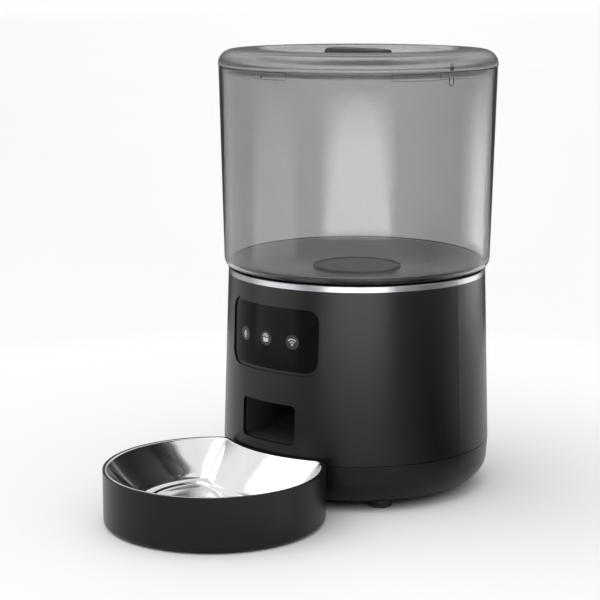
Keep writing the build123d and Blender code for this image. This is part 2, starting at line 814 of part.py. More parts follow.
def board_parts():
    """Chip, relay, capacitors and cable headers on the main board."""
    low = main_board_height + board_thickness
    parts = [block((-8, 4), (40, 52), (low, low + 1.6)), block((10, 20), (30, 46), (low, low + 10))]
    parts += [rod(4, low, low + 9, -16 + i * 9.5, 70) for i in range(2)]
    parts += [block((-24, -12), (24 + i * 9, 29 + i * 9), (low, low + 6)) for i in range(2)]
    return parts


def wireless_module():
    low = main_board_height + board_thickness
    module = block((8, 24), (56, 80), (low, low + 0.8))
    return module + block((9.5, 22.5), (57, 72), (low + 0.8, low + 3.2))


def board_screws():
    return [Pos(x, y, main_board_height + board_thickness) * small_screw(5) for x, y in board_post_spots]


def power_socket():
    low = main_board_height + board_thickness
    face = base_radius(jack_z) - shell_wall - 1.2
    half = jack_width / 2
    socket = block((-half, half), (main_board_rear - 4, face), (low, low + jack_height))
    socket += fore_rod(jack_nose, face, base_radius(jack_z) - 0.5, 0, jack_z)
    socket -= fore_rod(jack_bore, main_board_rear - 1, beyond, 0, jack_z)
    return socket + fore_rod(jack_pin, main_board_rear - 2, base_radius(jack_z) - 2, 0, jack_z)


def speaker():
    low = foot_height + shell_wall
    edge = speaker_radius
    frame = lathe((edge - 3, low), (edge, low), (edge, low + 2), (10, low + 5), (9, low + 5), (9, low + 9),
                  (0, low + 9), (0, low + 4.6), (8, low + 4.6), (edge - 3, low + 1.4))
    return Pos(speaker_x, 0, 0) * frame


def speaker_cone():
    low = foot_height + shell_wall
    edge = speaker_radius - 3.1
    cone = lathe((0, low + 2.8), (3, low + 2.8), (6, low + 3.6), (edge - 3, low + 0.9), (edge, low + 0.9),
                 (edge, low + 0.5), (edge - 3.2, low + 0.4), (6, low + 3.1), (3, low + 2.2), (0, low + 2.2))
    return Pos(speaker_x, 0, 0) * cone


# ---- tank pieces ----
def tank_shell():
    low = deck_top
    inner_floor = low + tank_wall
    shell = lathe((spigot_inner, low - spigot_depth), (spigot_outer, low - spigot_depth), (spigot_outer, low),
                  (tank_low_radius, low, tank_rounding), (tank_top_radius, tank_top, 0.6),
                  (tank_top_radius - tank_wall, tank_top, 0.6),
                  (tank_low_radius - tank_wall, inner_floor, tank_rounding - tank_wall),
                  (spigot_inner, inner_floor))
    return shell


def hopper_floor():
    """Dished floor of the tank with its outlet neck."""
    ledge = deck_top + tank_wall
    reach = tank_low_radius - tank_wall - 1.3
    hole = floor_edge - floor_dish
    dish_edge = spigot_inner - 2.0
    neck_outer = neck_radius + neck_wall
    underside = floor_edge - floor_thickness
    return lathe((neck_radius, neck_end), (neck_outer, neck_end), (neck_outer, hole - floor_thickness),
                 (dish_edge - 2, underside), (spigot_inner - 0.5, underside), (spigot_inner - 0.5, ledge),
                 (spigot_outer, ledge), (reach, floor_edge - 0.6), (reach, floor_edge),
                 (dish_edge, floor_edge), (neck_radius, hole, 1.0))


# ---- lid pieces ----
def lid_cap():
    """Twist lid with a sunk top and a grip bar across it."""
    sunk = lid_top - recess_depth
    underside = sunk - lid_wall
    lip = tank_top_radius - 1.0
    skirt = skirt_outer - liner_wall - 2.0
    inner = lid_radius - lid_wall
    cap = lathe((skirt, tank_top), (lip, tank_top), (lip, tank_top + twist_seam),
                (lid_radius, tank_top + twist_seam, 0.3), (lid_radius, lid_top - 1.2, lid_shoulder),
                (crest_radius, lid_top, 4), (recess_radius, sunk, 5), (0, sunk),
                (0, underside), (recess_radius + 1.2, underside, 4),
                (crest_radius + 2.5, lid_top - lid_wall, 2), (inner, lid_top - lid_wall - 1.2, 6),
                (inner - 0.8, tank_top + 1.5), (skirt, tank_top + 1.5))
    bar = RectangleRounded(grip_length, grip_width, grip_width * 0.35)
    grip = Pos(0, 0, sunk - 0.5) * extrude(bar, recess_depth + 0.5)
    grip = fillet(grip.faces().sort_by(Axis.Z)[-1].edges(), 1.5)
    return cap + grip


def lid_liner():
    """Skirt inside the tank's rim with the bayonet lugs."""
    low = tank_top - liner_depth
    inner = skirt_outer - liner_wall
    flange = skirt_outer + 1.7
    liner = lathe((inner, low), (flange, low), (flange, low + 1.0),
                  (skirt_outer, low + 1.0), (skirt_outer, tank_top), (inner, tank_top))
    lug = pipe(skirt_outer - 0.5, flange, tank_top - lug_height - 0.1, tank_top - 0.1)
    for i in range(lug_count):
        wedge = Pos(0, 0, tank_top - 5) * extrude(sector(beyond, lug_angle), 6)
        liner += turned(lug & wedge, 360 * i / lug_count + 45)
    return liner


def sector(radius, angle):
    """Slice of a disc about the front direction."""
    half = math.radians(angle / 2)
    tip = (radius * math.sin(half), -radius * math.cos(half))
    return make_face(Polyline((0, 0), (-tip[0], tip[1]), (0, -radius * 1.2), tip, close=True))


def lid_seal():
    low = tank_top - liner_depth + 1.0
    return pipe(skirt_outer + slip, tank_top_radius - tank_wall - slip, low, low + seal_height)


# ---- bowl pieces ----
def crescent(radius, bite, corner):
    """Round outline with the housing's curve bitten out and the two horns rounded."""
    face = Pos(0, -bowl_reach) * Circle(radius) - Circle(bite)
    horns = [v for v in face.vertices() if abs(math.hypot(v.X, v.Y) - bite) < 0.01]
    return fillet(horns, corner)


def bowl_holder():
    low = pad_height
    floor = low + holder_floor
    ledge = holder_top - lip_depth
    holder = extrude(Pos(0, 0, low) * crescent(holder_radius, bite_radius, holder_corner), holder_top - low)
    holder = fillet(holder.faces().sort_by(Axis.Z)[0].edges(), 2.0)
    holder = chamfer(holder.faces().sort_by(Axis.Z)[-1].outer_wire().edges(), 0.4)
    cavity = crescent(holder_radius - holder_wall, bite_radius + holder_wall, holder_corner - holder_wall)
    holder -= extrude(Pos(0, 0, floor) * cavity, holder_top)
    lip = lip_thickness
    rebate = crescent(holder_radius - lip, bite_radius + lip, holder_corner - lip)
    holder -= extrude(Pos(0, 0, ledge) * rebate, 5)
    return holder + (tongue(0) - rod(bite_radius + 1.0, 0, 50) + (tongue(0) & rod(bite_radius + 1.5, 0, 50)))


def holder_pads():
    return [rod(pad_radius, 0, pad_height, x, y) for x, y in pad_spots]


def steel_face(inset, corner):
    rim = lip_thickness + slip
    return crescent(holder_radius - rim - inset, bite_radius + rim + inset, corner)


def steel_space(inset, top, bottom):
    """Flared hollow of the bowl, from the rim down to its step and its floor."""
    upper = Pos(0, 0, top) * steel_face(inset, holder_corner - 3)
    lower = Pos(0, 0, bottom) * steel_face(inset + bowl_flare, 5)
    pit_top = steel_face(inset + bowl_flare + bowl_step, 4)
    pit_bottom = Pos(0, 0, bottom - step_drop) * pit_top
    return loft([upper, lower]) + extrude(pit_bottom, step_drop + 0.5)


def steel_bowl():
    rim_low = holder_top - lip_depth
    rim_top = rim_low + steel
    bottom = rim_top - bowl_depth + step_drop
    rim = extrude(Pos(0, 0, rim_low) * steel_face(0, holder_corner - 1.5), steel)
    outside = steel_space(1.5, rim_low, bottom - steel) + rim
    inside = steel_space(1.5 + steel, rim_top + 0.01, bottom)
    return outside - inside


# ---- write the nodes ----
os.makedirs("parts", exist_ok=True)
save("bottom_shell", bottom_shell())
save("body_shell", body_shell())
save("chrome_ring", chrome_ring())
save("deck", deck())
save("rubber_feet", *rubber_feet())
save("base_screws", *base_screws())
save("control_panel", control_panel())
save("record_button", button(button_angles[0]))
save("feed_button", button(button_angles[1]))
save("network_button", button(button_angles[2]))
save("control_board", control_board())
save("tact_switches", *tact_switches())
save("microphone", microphone())
save("control_screws", *control_screws())
save("drum_case", drum_case())
save("drum_cover", drum_cover())
save("drum_screws", *drum_screws())
save("cover_screws", *cover_screws())
save("shaft_bushes", *shaft_bushes())
save("gear_motor", gear_motor())
save("motor_screws", *motor_screws())
save("motor_shaft", motor_shaft())
save("pinion", pinion())
save("driven_gear", driven_gear())
save("drive_shaft", drive_shaft())
save("shaft_clips", *shaft_clips())
save("impeller", impeller())
save("food_chute", food_chute())
save("battery_box", battery_box())
save("battery_contacts", *battery_contacts())
save("battery_springs", *battery_springs())
save("bay_screws", *bay_screws())
save("battery_door", battery_door())
save("main_board", main_board())
save("board_parts", *board_parts())
save("wireless_module", wireless_module())
save("board_screws", *board_screws())
save("power_socket", power_socket())
save("speaker", speaker())
save("speaker_cone", speaker_cone())
save("tank_shell", tank_shell())
save("hopper_floor", hopper_floor())
save("lid_cap", lid_cap())
save("lid_liner", lid_liner())
save("lid_seal", lid_seal())
save("bowl_holder", bowl_holder())
save("holder_pads", *holder_pads())
save("steel_bowl", steel_bowl())
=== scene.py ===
import json
import math

import bmesh
import bpy
from mathutils import Matrix, Vector


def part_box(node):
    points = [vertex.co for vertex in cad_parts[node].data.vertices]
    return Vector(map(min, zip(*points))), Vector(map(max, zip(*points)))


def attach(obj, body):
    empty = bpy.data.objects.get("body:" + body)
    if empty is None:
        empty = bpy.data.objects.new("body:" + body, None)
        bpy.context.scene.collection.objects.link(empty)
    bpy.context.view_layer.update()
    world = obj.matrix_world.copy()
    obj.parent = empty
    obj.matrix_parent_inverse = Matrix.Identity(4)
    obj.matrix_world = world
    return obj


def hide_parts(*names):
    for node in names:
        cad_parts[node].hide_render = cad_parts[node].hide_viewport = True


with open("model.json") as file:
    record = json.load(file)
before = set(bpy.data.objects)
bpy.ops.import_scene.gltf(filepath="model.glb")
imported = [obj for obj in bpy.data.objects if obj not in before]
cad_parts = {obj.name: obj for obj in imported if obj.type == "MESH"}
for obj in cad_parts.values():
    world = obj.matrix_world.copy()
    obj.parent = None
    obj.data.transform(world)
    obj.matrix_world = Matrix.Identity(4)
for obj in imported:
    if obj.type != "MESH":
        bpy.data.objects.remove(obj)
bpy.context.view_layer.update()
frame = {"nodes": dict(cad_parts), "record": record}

MM = 0.001
TAU = 2 * math.pi

# ---- places taken from the frame ----
ring_low, ring_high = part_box("chrome_ring")
axis = Vector(((ring_low.x + ring_high.x) / 2, (ring_low.y + ring_high.y) / 2, 0))
ring_radius = (ring_high.x - ring_low.x) / 2
tank_low, tank_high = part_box("tank_shell")
tank_top_radius = (tank_high.x - tank_low.x) / 2
lid_low, lid_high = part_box("lid_cap")
lid_radius = (lid_high.x - lid_low.x) / 2
floor_low, floor_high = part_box("hopper_floor")
seam_low, seam_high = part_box("body_shell")
seam_radius = (seam_high.x - seam_low.x) / 2

# ---- sizes of the moulded shapes ----
TANK_WALL = 2.2 * MM
TANK_FLARE = 3.5 * MM
TANK_FOOT_ROUNDING = 7.0 * MM
SPIGOT_DEPTH = 3.0 * MM
SPIGOT_INSET = 4.7 * MM
SPIGOT_WALL = 2.4 * MM
LID_SHOULDER = 10.5 * MM
CREST_INSET = 27.7 * MM
RECESS_SLOPE = 6.0 * MM
RECESS_DEPTH = 8.5 * MM
LID_WALL = 2.2 * MM
LID_SEAT_GAP = 0.15 * MM
LID_STEP = 1.4 * MM
LID_LAND = 9 * MM
GRIP_LENGTH = 52.0 * MM
GRIP_WIDTH = 13.0 * MM
GRIP_FLARE_ALONG = 1.06
GRIP_FLARE_ACROSS = 1.18
NECK_RADIUS = 30.3 * MM
# half width of the dark rim of painted shade at the outlet's edge
RIM_HALF_WIDTH = 0.7 * MM
# width and half height of the dark line of painted shade round the floor's edge
EDGE_SHADE_WIDTH = 1.0 * MM
EDGE_SHADE_HALF_HEIGHT = 0.3 * MM
ROUND_SEGMENTS = 288
# edges that turn by more than this many degrees stay crisp
LATHE_SHARP = 40
BOWL_SHARP = 50


# ---- mesh helpers ----
def link(name, mesh):
    piece = bpy.data.objects.new(name, mesh)
    bpy.context.scene.collection.objects.link(piece)
    return piece


def mesh_from(name, vertices, faces, smooth=True):
    mesh = bpy.data.meshes.new(name)
    mesh.from_pydata(vertices, [], faces)
    mesh.validate()
    if smooth:
        mesh.shade_smooth()
    return link(name, mesh)


def rounded(corners, steps):
    """Points along a closed outline whose corners are (radius, height, rounding)."""
    points = []
    count = len(corners)
    for i, corner in enumerate(corners):
        here = Vector(corner[:2])
        size = corner[2] if len(corner) == 3 else 0
        if size == 0:
            points.append(here)
            continue
        before = (Vector(corners[i - 1][:2]) - here).normalized()
        after = (Vector(corners[(i + 1) % count][:2]) - here).normalized()
        half = before.angle(after) / 2
        centre = here + (before + after).normalized() * (size / math.sin(half))
        start = here + before * (size / math.tan(half)) - centre
        end = here + after * (size / math.tan(half)) - centre
        sweep = start.angle_signed(end)
        for k in range(steps + 1):
            turn = -sweep * k / steps
            c, s = math.cos(turn), math.sin(turn)
            points.append(centre + Vector((start.x * c - start.y * s, start.x * s + start.y * c)))
    return points


def lathe(name, corners, body, replaced=(), steps=7):
    """Closed solid of revolution about the feeder's upright axis."""
    outline = rounded(corners, steps)
    rows = len(outline)
    vertices = []
    for k in range(ROUND_SEGMENTS):
        turn = TAU * k / ROUND_SEGMENTS
        vertices += [(axis.x + p.x * math.cos(turn), axis.y + p.x * math.sin(turn), p.y) for p in outline]
    faces = []
    for k in range(ROUND_SEGMENTS):
        here, there = k * rows, (k + 1) % ROUND_SEGMENTS * rows
        for i in range(rows):
            j = (i + 1) % rows
            faces.append((here + i, there + i, there + j, here + j))
    piece = mesh_from(name, vertices, faces)
    tidy_normals(piece, LATHE_SHARP)
    return placed(piece, body, replaced)


def tidy_normals(piece, sharp):
    """Weld, point the faces outward and keep edges sharper than an angle crisp."""
    mesh = bmesh.new()
    mesh.from_mesh(piece.data)
    bmesh.ops.remove_doubles(mesh, verts=mesh.verts, dist=1e-7)
    bmesh.ops.recalc_face_normals(mesh, faces=mesh.faces)
    for edge in mesh.edges:
        edge.smooth = not (len(edge.link_faces) == 2 and edge.calc_face_angle(0) > math.radians(sharp))
    mesh.to_mesh(piece.data)
    mesh.free()


def placed(piece, body, replaced=()):
    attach(piece, body)
    if replaced:
        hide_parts(*replaced)
    return piece


# ---- shader helpers ----
class Shader:
    """A node material under construction, with one Principled BSDF."""

    def __init__(self, name):
        self.material = bpy.data.materials.new(name)
        self.material.use_nodes = True
        self.nodes = self.material.node_tree.nodes
        self.links = self.material.node_tree.links
        self.surface = self.nodes["Principled BSDF"]

    def set(self, **values):
        for key, value in values.items():
            self.surface.inputs[key.replace("_", " ")].default_value = value
        return self

    def node(self, kind):
        return self.nodes.new(kind)

    def feed(self, source, socket):
        self.links.new(source, self.surface.inputs[socket])

    def group(self, tree, **values):
        node = self.nodes.new("ShaderNodeGroup")
        node.node_tree = tree
        for key, value in values.items():
            node.inputs[key.replace("_", " ")].default_value = value
        return node


def new_group(name, inputs, outputs):
    tree = bpy.data.node_groups.new(name, "ShaderNodeTree")
    for label, kind, default in inputs:
        socket = tree.interface.new_socket(name=label, in_out="INPUT", socket_type=kind)
        socket.default_value = default
    for label, kind in outputs:
        tree.interface.new_socket(name=label, in_out="OUTPUT", socket_type=kind)
    return tree, tree.nodes.new("NodeGroupInput"), tree.nodes.new("NodeGroupOutput")


def plug(tree, value, socket):
    """Join another node's output to a socket, or set the socket to a fixed value."""
    if hasattr(value, "node"):
        tree.links.new(value, socket)
    else:
        socket.default_value = value


def noise(tree, scale, detail, coordinate, distortion=0.0):
    node = tree.nodes.new("ShaderNodeTexNoise")
    node.inputs["Detail"].default_value = detail
    node.inputs["Distortion"].default_value = distortion
    tree.links.new(coordinate, node.inputs["Vector"])
    plug(tree, scale, node.inputs["Scale"])
    return node.outputs["Fac"]


def blend_colours(tree, factor, first, second):
    node = tree.nodes.new("ShaderNodeMix")
    node.data_type = "RGBA"
    for value, place in ((factor, 0), (first, 6), (second, 7)):
        plug(tree, value, node.inputs[place])
    return node.outputs[2]


def remap(tree, value, low, high, new_low=0.0, new_high=1.0):
    node = tree.nodes.new("ShaderNodeMapRange")
    for number, socket in zip((low, high, new_low, new_high), list(node.inputs)[1:5]):
        plug(tree, number, socket)
    tree.links.new(value, node.inputs[0])
    return node.outputs[0]


def combine(tree, operation, first, second):
    node = tree.nodes.new("ShaderNodeMath")
    node.operation = operation
    plug(tree, first, node.inputs[0])
    plug(tree, second, node.inputs[1])
    return node.outputs[0]


def moulded_grain():
    """Fine spark-eroded texture of moulded plastic with slow drifts in tone and gloss."""
    tree, given, result = new_group(
        "moulded_grain",
        [("Colour", "NodeSocketColor", (0.05, 0.05, 0.05, 1)),
         ("Worn Colour", "NodeSocketColor", (0.08, 0.08, 0.08, 1)),
         ("Grain Scale", "NodeSocketFloat", 1500.0), ("Grain Depth", "NodeSocketFloat", 0.1),
         ("Roughness", "NodeSocketFloat", 0.5), ("Roughness Drift", "NodeSocketFloat", 0.08)],
        [("Colour", "NodeSocketColor"), ("Roughness", "NodeSocketFloat"), ("Height", "NodeSocketFloat"),
         ("Wear", "NodeSocketFloat")])
    place = tree.nodes.new("ShaderNodeTexCoord").outputs["Object"]
    shape = tree.nodes.new("ShaderNodeNewGeometry")
    drift = noise(tree, 14.0, 3.0, place)
    grain = noise(tree, given.outputs["Grain Scale"], 2.0, place)
    scuffs = noise(tree, 260.0, 4.0, place, 1.5)
    edge = remap(tree, shape.outputs["Pointiness"], 0.52, 0.60)
    worn = combine(tree, "MULTIPLY", edge, remap(tree, scuffs, 0.45, 0.65))
    speck = remap(tree, grain, 0.35, 0.75, 0.0, 0.25)
    plain, paler = given.outputs["Colour"], given.outputs["Worn Colour"]
    toned = blend_colours(tree, combine(tree, "MULTIPLY", drift, 0.35), plain, paler)
    flecked = blend_colours(tree, speck, toned, paler)
    tree.links.new(blend_colours(tree, worn, flecked, paler), result.inputs["Colour"])
    sway = remap(tree, drift, 0.3, 0.7, -1.0, 1.0)
    swing = combine(tree, "MULTIPLY", sway, given.outputs["Roughness Drift"])
    tree.links.new(combine(tree, "ADD", given.outputs["Roughness"], swing), result.inputs["Roughness"])
    tree.links.new(combine(tree, "MULTIPLY", grain, given.outputs["Grain Depth"]), result.inputs["Height"])
    tree.links.new(worn, result.inputs["Wear"])
    return tree


def handling_marks():
    """Faint wiped smudges and fine hairlines of a handled glossy surface."""
    tree, given, result = new_group(
        "handling_marks",
        [("Roughness", "NodeSocketFloat", 0.1), ("Smudge", "NodeSocketFloat", 0.1),
         ("Hairlines", "NodeSocketFloat", 0.05)],
        [("Roughness", "NodeSocketFloat"), ("Height", "NodeSocketFloat"), ("Mask", "NodeSocketFloat")])
    place = tree.nodes.new("ShaderNodeTexCoord").outputs["Object"]
    wipe = remap(tree, noise(tree, 22.0, 5.0, place, 0.8), 0.42, 0.75)
    stretch = tree.nodes.new("ShaderNodeMapping")
    stretch.inputs["Scale"].default_value = (90.0, 90.0, 1400.0)
    tree.links.new(place, stretch.inputs["Vector"])
    lines = remap(tree, noise(tree, 1.0, 2.0, stretch.outputs[0]), 0.66, 0.72)
    dulled = combine(tree, "MULTIPLY", wipe, given.outputs["Smudge"])
    scored = combine(tree, "MULTIPLY", lines, given.outputs["Hairlines"])
    total = combine(tree, "ADD", combine(tree, "ADD", given.outputs["Roughness"], dulled), scored)
    tree.links.new(total, result.inputs["Roughness"])
    tree.links.new(scored, result.inputs["Height"])
    tree.links.new(wipe, result.inputs["Mask"])
    return tree


def lathe_brushing():
    """Fine turning lines that run round an upright axis."""
    tree, given, result = new_group(
        "lathe_brushing",
        [("Colour", "NodeSocketColor", (0.7, 0.7, 0.7, 1)), ("Shade", "NodeSocketColor", (0.5, 0.5, 0.5, 1)),
         ("Roughness", "NodeSocketFloat", 0.2), ("Line Scale", "NodeSocketFloat", 3000.0)],
        [("Colour", "NodeSocketColor"), ("Roughness", "NodeSocketFloat"), ("Height", "NodeSocketFloat")])
    place = tree.nodes.new("ShaderNodeTexCoord").outputs["Object"]
    split = tree.nodes.new("ShaderNodeSeparateXYZ")
    tree.links.new(place, split.inputs[0])
    lift = combine(tree, "MULTIPLY", split.outputs["Z"], given.outputs["Line Scale"])
    lines = tree.nodes.new("ShaderNodeTexNoise")
    lines.noise_dimensions = "1D"
    lines.inputs["Scale"].default_value = 1.0
    tree.links.new(lift, lines.inputs["W"])
    patches = noise(tree, 60.0, 3.0, place)
    mixed = combine(tree, "MULTIPLY", lines.outputs["Fac"], patches)
    shine = remap(tree, mixed, 0.1, 0.45)
    streaked = blend_colours(tree, shine, given.outputs["Shade"], given.outputs["Colour"])
    tree.links.new(streaked, result.inputs["Colour"])
    swing = remap(tree, lines.outputs["Fac"], 0.3, 0.7, -0.06, 0.08)
    tree.links.new(combine(tree, "ADD", given.outputs["Roughness"], swing), result.inputs["Roughness"])
    tree.links.new(lines.outputs["Fac"], result.inputs["Height"])
    return tree


GRAIN = moulded_grain()
MARKS = handling_marks()
BRUSHING = lathe_brushing()
BRUSHED_LINES = 3000.0


def bump(shader, height, distance):
    node = shader.node("ShaderNodeBump")
    node.inputs["Distance"].default_value = distance
    node.inputs["Strength"].default_value = 1.0
    shader.links.new(height, node.inputs["Height"])
    shader.feed(node.outputs["Normal"], "Normal")


def grained(name, colour, worn, roughness, scale=1500.0, depth=1.0, distance=0.02 * MM, drift=0.06, **extra):
    """Moulded plastic or rubber with a fine grain."""
    shader = Shader(name).set(**extra)
    grain = shader.group(GRAIN, Colour=(*colour, 1), Worn_Colour=(*worn, 1), Grain_Scale=scale,
                         Grain_Depth=depth, Roughness=roughness, Roughness_Drift=drift)
    shader.feed(grain.outputs["Colour"], "Base Color")
    shader.feed(grain.outputs["Roughness"], "Roughness")
    bump(shader, grain.outputs["Height"], distance)
    return shader.material


def glossy(name, colour, roughness, smudge, hairlines, **extra):
    """Smooth moulding with handling marks."""
    shader = Shader(name).set(**extra)
    marks = shader.group(MARKS, Roughness=roughness, Smudge=smudge, Hairlines=hairlines)
    tone = shader.material.node_tree
    lighter = tuple(min(1, c * 1.25 + 0.004) for c in colour)
    shader.feed(blend_colours(tone, marks.outputs["Mask"], (*colour, 1), (*lighter, 1)), "Base Color")
    shader.feed(marks.outputs["Roughness"], "Roughness")
    bump(shader, marks.outputs["Height"], 0.004 * MM)
    return shader.material


def brushed(name, colour, shade, roughness):
    """Turned or brushed metal with fine lines round the upright axis."""
    shader = Shader(name).set(Metallic=1.0)
    brush = shader.group(BRUSHING, Colour=(*colour, 1), Shade=(*shade, 1), Roughness=roughness,
                         Line_Scale=BRUSHED_LINES)
    shader.feed(brush.outputs["Colour"], "Base Color")
    shader.feed(brush.outputs["Roughness"], "Roughness")
    bump(shader, brush.outputs["Height"], 0.003 * MM)
    return shader.material


def smoked(name, clear, edge, roughness, ior=1.4):
    """Smoke-tinted clear plastic, deeper in tone where it is seen edge on."""
    shader = Shader(name).set(Transmission_Weight=1.0, IOR=ior)
    marks = shader.group(MARKS, Roughness=roughness, Smudge=0.02, Hairlines=0.01)
    facing = shader.node("ShaderNodeLayerWeight")
    facing.inputs["Blend"].default_value = 0.32
    tone = shader.material.node_tree
    tint = blend_colours(tone, facing.outputs["Facing"], (*clear, 1), (*edge, 1))
    shader.feed(tint, "Base Color")
    shader.feed(marks.outputs["Roughness"], "Roughness")
    return shader.material


def polished_steel(name):
    shader = Shader(name).set(Metallic=1.0)
    marks = shader.group(MARKS, Roughness=0.075, Smudge=0.05, Hairlines=0.03)
    tone = shader.material.node_tree
    steel = blend_colours(tone, marks.outputs["Mask"], (0.80, 0.80, 0.80, 1), (0.73, 0.73, 0.74, 1))
    shader.feed(steel, "Base Color")
    shader.feed(marks.outputs["Roughness"], "Roughness")
    return shader.material


def circuit_board(name):
    """Green solder mask with a hint of traces beneath."""
    shader = Shader(name).set(Specular_IOR_Level=0.5)
    tone = shader.material.node_tree
    place = shader.node("ShaderNodeTexCoord").outputs["Object"]
    bricks = shader.node("ShaderNodeTexBrick")
    bricks.inputs["Scale"].default_value = 90.0
    bricks.inputs["Mortar Size"].default_value = 0.06
    bricks.inputs["Color1"].default_value = (0.02, 0.13, 0.05, 1)
    bricks.inputs["Color2"].default_value = (0.025, 0.16, 0.065, 1)
    bricks.inputs["Mortar"].default_value = (0.06, 0.27, 0.10, 1)
    shader.links.new(place, bricks.inputs["Vector"])
    shader.feed(bricks.outputs["Color"], "Base Color")
    shader.feed(remap(tone, noise(tone, 40.0, 3.0, place), 0.3, 0.7, 0.22, 0.38), "Roughness")
    bump(shader, bricks.outputs["Fac"], 0.02 * MM)
    return shader.material


MATERIALS = {
    "shell_plastic": grained("shell_plastic", (0.0065, 0.0065, 0.0067), (0.0085, 0.0085, 0.0088), 0.30,
                             drift=0.01, Specular_IOR_Level=0.22),
    "deck_plastic": grained("deck_plastic", (0.012, 0.012, 0.0125), (0.02, 0.02, 0.021), 0.5,
                            Specular_IOR_Level=0.3),
    "chute_plastic": grained("chute_plastic", (0.03, 0.03, 0.031), (0.045, 0.045, 0.046), 0.4, 900.0),
    "bright_ring": brushed("bright_ring", (0.36, 0.36, 0.37), (0.27, 0.27, 0.285), 0.24),
    "foot_rubber": grained("foot_rubber", (0.012, 0.012, 0.012), (0.02, 0.02, 0.02), 0.7, 700.0, 1.0,
                           0.05 * MM),
    "screw_steel": brushed("screw_steel", (0.62, 0.62, 0.64), (0.45, 0.45, 0.47), 0.28),
    "panel_gloss": glossy("panel_gloss", (0.0012, 0.0012, 0.0013), 0.10, 0.05, 0.04, Specular_IOR_Level=0.05),
    "button_plastic": grained("button_plastic", (0.024, 0.024, 0.025), (0.033, 0.033, 0.034), 0.4, 2200.0,
                              Specular_IOR_Level=0.3),
    "circuit_board": circuit_board("circuit_board"),
    "switch_plastic": grained("switch_plastic", (0.02, 0.02, 0.02), (0.035, 0.035, 0.035), 0.4),
    "can_metal": brushed("can_metal", (0.68, 0.68, 0.66), (0.55, 0.55, 0.53), 0.3),
    "drum_plastic": grained("drum_plastic", (0.62, 0.62, 0.59), (0.68, 0.68, 0.66), 0.5, 800.0),
    "bush_bronze": brushed("bush_bronze", (0.60, 0.42, 0.20), (0.42, 0.28, 0.13), 0.35),
    "motor_steel": brushed("motor_steel", (0.60, 0.60, 0.62), (0.46, 0.46, 0.48), 0.3),
    "shaft_steel": brushed("shaft_steel", (0.66, 0.66, 0.68), (0.52, 0.52, 0.54), 0.2),
    "gear_plastic": grained("gear_plastic", (0.78, 0.76, 0.70), (0.84, 0.82, 0.78), 0.38, 900.0),
    "impeller_silicone": grained("impeller_silicone", (0.42, 0.43, 0.44), (0.5, 0.51, 0.52), 0.55, 600.0),
    "contact_metal": brushed("contact_metal", (0.78, 0.76, 0.70), (0.62, 0.60, 0.55), 0.22),
    "speaker_steel": grained("speaker_steel", (0.03, 0.03, 0.03), (0.05, 0.05, 0.05), 0.45),
    "cone_paper": grained("cone_paper", (0.03, 0.03, 0.03), (0.06, 0.06, 0.055), 0.85, 500.0, 1.0, 0.08 * MM),
    "tank_smoke": smoked("tank_smoke", (0.56, 0.56, 0.565), (0.17, 0.17, 0.175), 0.0, 1.4),
    "lid_smoke": smoked("lid_smoke", (0.72, 0.72, 0.725), (0.40, 0.40, 0.405), 0.22, 1.3),
    "hopper_dark": glossy("hopper_dark", (0.075, 0.075, 0.078), 0.09, 0.05, 0.05, Specular_IOR_Level=1.0),
    "grip_smoke": smoked("grip_smoke", (0.16, 0.16, 0.165), (0.10, 0.10, 0.105), 0.1, 1.3),
    "seal_silicone": smoked("seal_silicone", (0.74, 0.74, 0.745), (0.6, 0.6, 0.605), 0.25),
    "bowl_steel": polished_steel("bowl_steel"),
    # painted light: pale grey for the lit wall of the outlet neck, which is dark hopper plastic
    "neck_painted_light_grey": glossy("neck_painted_light_grey", (0.42, 0.41, 0.40), 0.3, 0.1, 0.1),
    "printed_white": grained("printed_white", (0.72, 0.72, 0.72), (0.6, 0.6, 0.6), 0.5, 1800.0),
    # dark print and drawn outlines on the lid and tank; also painted shade at the outlet's rim and round the
    # floor's edge
    "dark_print_and_painted_shade": grained("dark_print_and_painted_shade", (0.02, 0.02, 0.02), (0.035, 0.035, 0.035), 0.5, 1800.0),
}


def finish_with(piece, slot, material=None):
    piece.data.materials.clear()
    piece.data.materials.append(MATERIALS[material or slot])


def paint_cad_nodes():
    for entry in frame["record"]["subparts"]:
        node = frame["nodes"][entry["node"]]
        for slot in node.material_slots:
            slot.material = MATERIALS[entry["material_slot"]]


# ---- tank and lid ----
def tank_outline():
    low = ring_high.z
    foot = tank_top_radius - TANK_FLARE
    spigot = ring_radius - SPIGOT_INSET
    inner_floor = low + TANK_WALL
    return [(spigot - SPIGOT_WALL, low - SPIGOT_DEPTH, 0.4 * MM), (spigot, low - SPIGOT_DEPTH, 0.4 * MM),
            (spigot, low, 0.3 * MM), (foot, low, TANK_FOOT_ROUNDING),
            (tank_top_radius, tank_high.z, 0.5 * MM), (tank_top_radius - TANK_WALL, tank_high.z, 0.5 * MM),
            (foot - TANK_WALL, inner_floor, TANK_FOOT_ROUNDING - TANK_WALL),
            (spigot - SPIGOT_WALL, inner_floor)]


def make_tank():
    tank = lathe("tank_wall", tank_outline(), "tank", ["tank_shell"])
    finish_with(tank, "tank_smoke")


